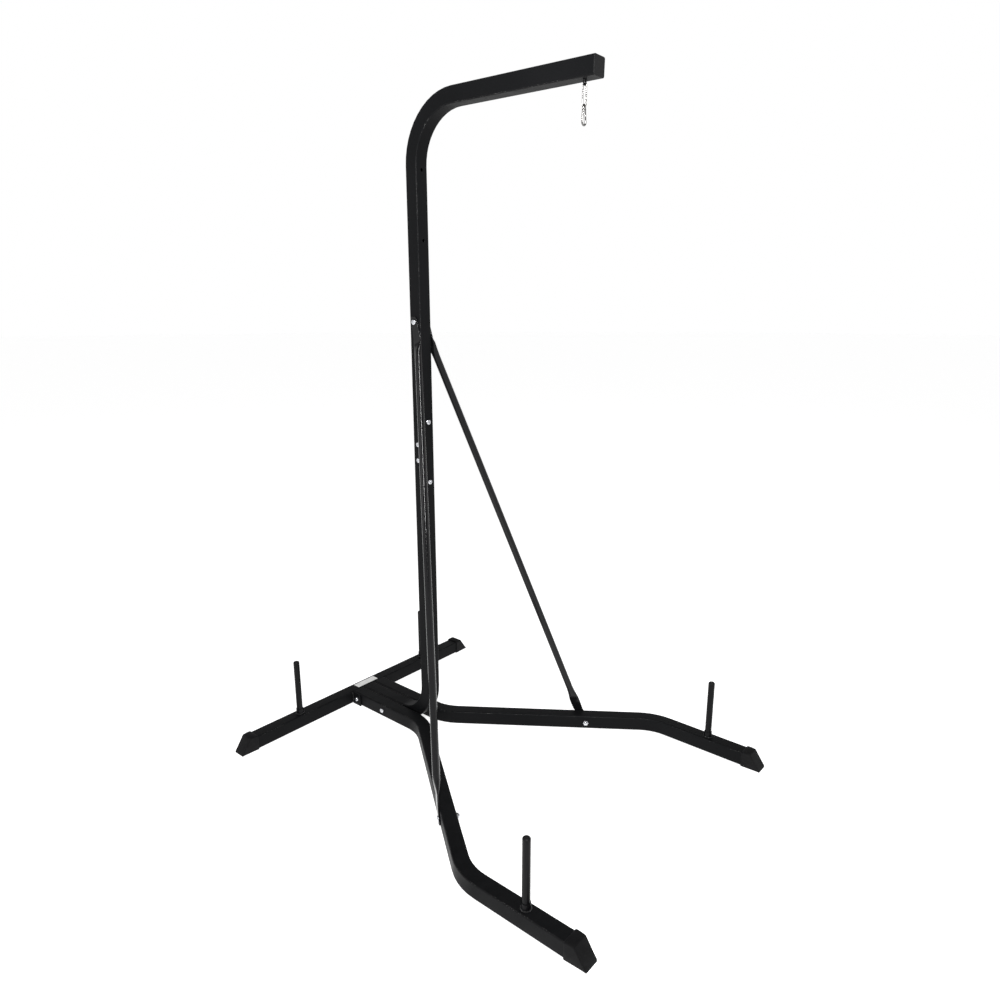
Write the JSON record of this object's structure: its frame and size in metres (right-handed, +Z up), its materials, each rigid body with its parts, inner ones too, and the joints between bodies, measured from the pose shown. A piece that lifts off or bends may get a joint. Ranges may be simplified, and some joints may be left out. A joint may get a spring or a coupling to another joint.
{
  "type": "heavy bag stand",
  "caption": "Free-standing heavy bag stand: bolted square-tube mast with an overhead arm, splayed legs, rear crossbar, braces, weight pegs, and a link and snap hook to hang a bag.",
  "frame": {"origin": "middle of the footprint, on the floor under the caps", "axes": "+Z up along the mast; -Y forward, towards the arm's end and the leg toes; +X to the right of somebody who faces the stand from the front and looks along +Y, so the left nodes are at -X"},
  "size_m": [1.224, 1.5657, 2.2841],
  "materials": {
    "frame_paint": "satin black powder coat with a fine texture",
    "brace_paint": "smooth semi-gloss black powder coat",
    "rubber": "matte black moulded rubber",
    "plastic": "matte black moulded plastic",
    "zinc_plate": "bright zinc-plated steel",
    "chrome": "polished nickel-plated steel",
    "bare_steel": "plain steel, hidden inside other parts"
  },
  "bodies": {
    "frame": {"arm_end_plug": "plastic", "base_middle_bolt": "zinc_plate", "base_middle_nut": "zinc_plate", "base_rear_bolt": "zinc_plate", "base_rear_nut": "zinc_plate", "brace_foot_left_bolt": "zinc_plate", "brace_foot_left_nut": "zinc_plate", "brace_foot_right_bolt": "zinc_plate", "brace_foot_right_nut": "zinc_plate", "brace_left": "brace_paint", "brace_right": "brace_paint", "brace_top_bolt": "zinc_plate", "brace_top_nut": "zinc_plate", "crossbar_cap_left": "rubber", "crossbar_cap_right": "rubber", "crossbar_ear_left": "frame_paint", "crossbar_ear_right": "frame_paint", "foot_packer_left": "frame_paint", "foot_packer_right": "frame_paint", "front_peg_left": "frame_paint", "front_peg_left_collar": "frame_paint", "front_peg_left_tip": "plastic", "front_peg_right": "frame_paint", "front_peg_right_collar": "frame_paint", "front_peg_right_tip": "plastic", "hanging_eye": "frame_paint", "joint_front_lower_bolt": "zinc_plate", "joint_front_lower_nut": "zinc_plate", "joint_front_upper_bolt": "zinc_plate", "joint_front_upper_nut": "zinc_plate", "joint_side_lower_bolt": "zinc_plate", "joint_side_lower_nut": "zinc_plate", "joint_side_upper_bolt": "zinc_plate", "joint_side_upper_nut": "zinc_plate", "joint_sleeve": "bare_steel", "leg_cap_left": "rubber", "leg_cap_right": "rubber", "leg_left": "frame_paint", "leg_right": "frame_paint", "lower_mast": "frame_paint", "rear_crossbar": "frame_paint", "rear_peg_left": "frame_paint", "rear_peg_left_collar": "frame_paint", "rear_peg_left_tip": "plastic", "rear_peg_right": "frame_paint", "rear_peg_right_collar": "frame_paint", "rear_peg_right_tip": "plastic", "upper_mast": "frame_paint"},
    "link": {"hanging_link": "chrome"},
    "hook": {"snap_hook_body": "chrome", "gate_pin": "chrome"},
    "gate": {"snap_hook_gate": "chrome", "gate_spring": "bare_steel"}
  },
  "joints": [
    {"name": "link_swing", "type": "hinge", "parent": "frame", "child": "link", "pos_m": [0, -0.31895, 2.2101], "axis": [0, 1, 0], "range_deg": [-60, 60]},
    {"name": "hook_swing", "type": "hinge", "parent": "link", "child": "hook", "pos_m": [0, -0.31895, 2.15645], "axis": [1, 0, 0], "range_deg": [-60, 60]},
    {"name": "gate_open", "type": "hinge", "parent": "hook", "child": "gate", "pos_m": [0.00532, -0.31895, 2.14611], "axis": [0, 1, 0], "range_deg": [0, 20], "stiffness_Nm_per_rad": 0.01, "springref_deg": -28.65}
  ]
}
